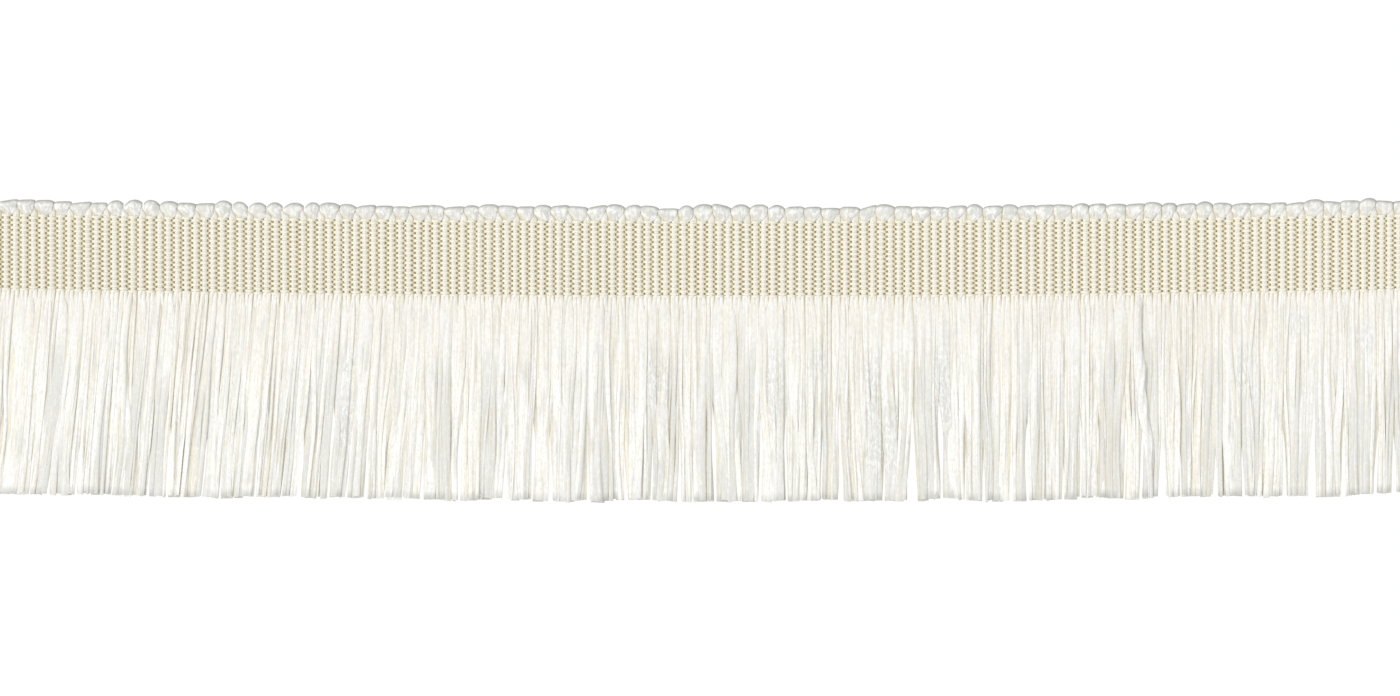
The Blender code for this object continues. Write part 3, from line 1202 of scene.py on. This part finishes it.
yarn = yarn_material()
pick_raffia = raffia_material(
    "pick_raffia", grey=(0.82, 0.80, 0.71), white=(0.89, 0.875, 0.79), ivory=(0.89, 0.86, 0.75),
)
loop_raffia = raffia_material(
    "loop_raffia", grey=(0.70, 0.70, 0.665), white=(0.88, 0.875, 0.825), ivory=(0.97, 0.96, 0.91),
)
# Painted shade: the back ribbons are darker and tan, for the shade in which they show between the front
# ones
shaded_back_raffia = raffia_material(
    "shaded_back_raffia", grey=(0.87, 0.84, 0.74), white=(0.93, 0.895, 0.79), ivory=(0.90, 0.85, 0.70),
)
skirt_raffia = raffia_material(
    "skirt_raffia", grey=(0.76, 0.765, 0.745), white=(0.985, 0.985, 0.975), ivory=(0.965, 0.945, 0.885),
    streak=(0.94, 0.895, 0.78), shade=(0.66, 0.67, 0.65), wrinkle_scale=1.8,
)

heading_pieces = [
    picks(pick_raffia),
    warp_yarns("warp_yarns_odd", range(1, WARP_ENDS, 2), yarn),
    warp_yarns("warp_yarns_even", range(0, WARP_ENDS, 2), yarn),
]
loop_piece = loops(loop_raffia)
skirt_chance = np.random.default_rng(SKIRT_SEED)
skirt_pieces = [
    *front_ribbons(skirt_raffia, skirt_chance),
    *back_ribbons(shaded_back_raffia, skirt_chance),
    top_ribbons(skirt_raffia, skirt_chance),
    twisted_strand(skirt_raffia),
]

for piece in heading_pieces:
    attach(piece, "root")
    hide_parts("heading_band")
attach(loop_piece, "root")
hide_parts("edge_loops")
for piece in skirt_pieces:
    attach(piece, "root")
    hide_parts("raffia_skirt")


# Stage, light and camera

TABLE_SIZE = 12
TABLE_DROP = 0.0002

WHITE = (1, 1, 1, 1)
SKY_STRENGTH = 0.84
KEY_STRENGTH = 1.05
KEY_SPREAD = 25
KEY_DIRECTION = (0.72, 0.12, -0.7)

# What the photograph shows across, in millimetres, and where its centre falls on the trim
VIEW_WIDTH = 358.4
VIEW_CENTRE = (0.64, -12.9)
CAMERA_HEIGHT = 1000
FACE_LEVEL = 1
SENSOR_WIDTH = 36
FARTHEST_VIEW = 20


def white_table():
    """A table that gives its own even white and takes no shadow, as in the photograph."""
    bpy.ops.mesh.primitive_plane_add(size=TABLE_SIZE, location=(0, 0, -TABLE_DROP))
    table = bpy.context.object
    table.name = "table"
    shader = Shader("white_table")
    shader.surface.inputs["Base Color"].default_value = (0.02, 0.02, 0.02, 1)
    shader.surface.inputs["Roughness"].default_value = 1.0
    shader.surface.inputs["Specular IOR Level"].default_value = 0.0
    shader.surface.inputs["Emission Color"].default_value = WHITE
    shader.surface.inputs["Emission Strength"].default_value = 1.0
    table.data.materials.append(shader.material)


def studio():
    """Even white light from all round, and a soft key light from the upper left."""
    scene = bpy.context.scene
    world = bpy.data.worlds.new("studio_white")
    scene.world = world
    world.use_nodes = True
    background = world.node_tree.nodes["Background"]
    background.inputs["Color"].default_value = WHITE
    background.inputs["Strength"].default_value = SKY_STRENGTH
    key = bpy.data.lights.new("key_left", "SUN")
    key.energy = KEY_STRENGTH
    key.angle = math.radians(KEY_SPREAD)
    lamp = bpy.data.objects.new("key_left", key)
    lamp.rotation_euler = Vector(KEY_DIRECTION).to_track_quat("-Z", "Y").to_euler()
    scene.collection.objects.link(lamp)
    scene.view_settings.view_transform = "Standard"
    scene.view_settings.look = "None"


def overhead_camera():
    """A camera straight above the trim that shows what the photograph shows."""
    camera = bpy.data.cameras.new("camera")
    camera.sensor_fit = "HORIZONTAL"
    camera.sensor_width = SENSOR_WIDTH
    camera.lens = SENSOR_WIDTH * CAMERA_HEIGHT / VIEW_WIDTH
    camera.clip_end = FARTHEST_VIEW
    eye = bpy.data.objects.new("camera", camera)
    eye.location = (
        HEADING_MIDDLE + VIEW_CENTRE[0] * MM,
        HEADING_LOW.y + VIEW_CENTRE[1] * MM,
        (CAMERA_HEIGHT + FACE_LEVEL) * MM,
    )
    bpy.context.scene.collection.objects.link(eye)
    bpy.context.scene.camera = eye


white_table()
studio()
overhead_camera()
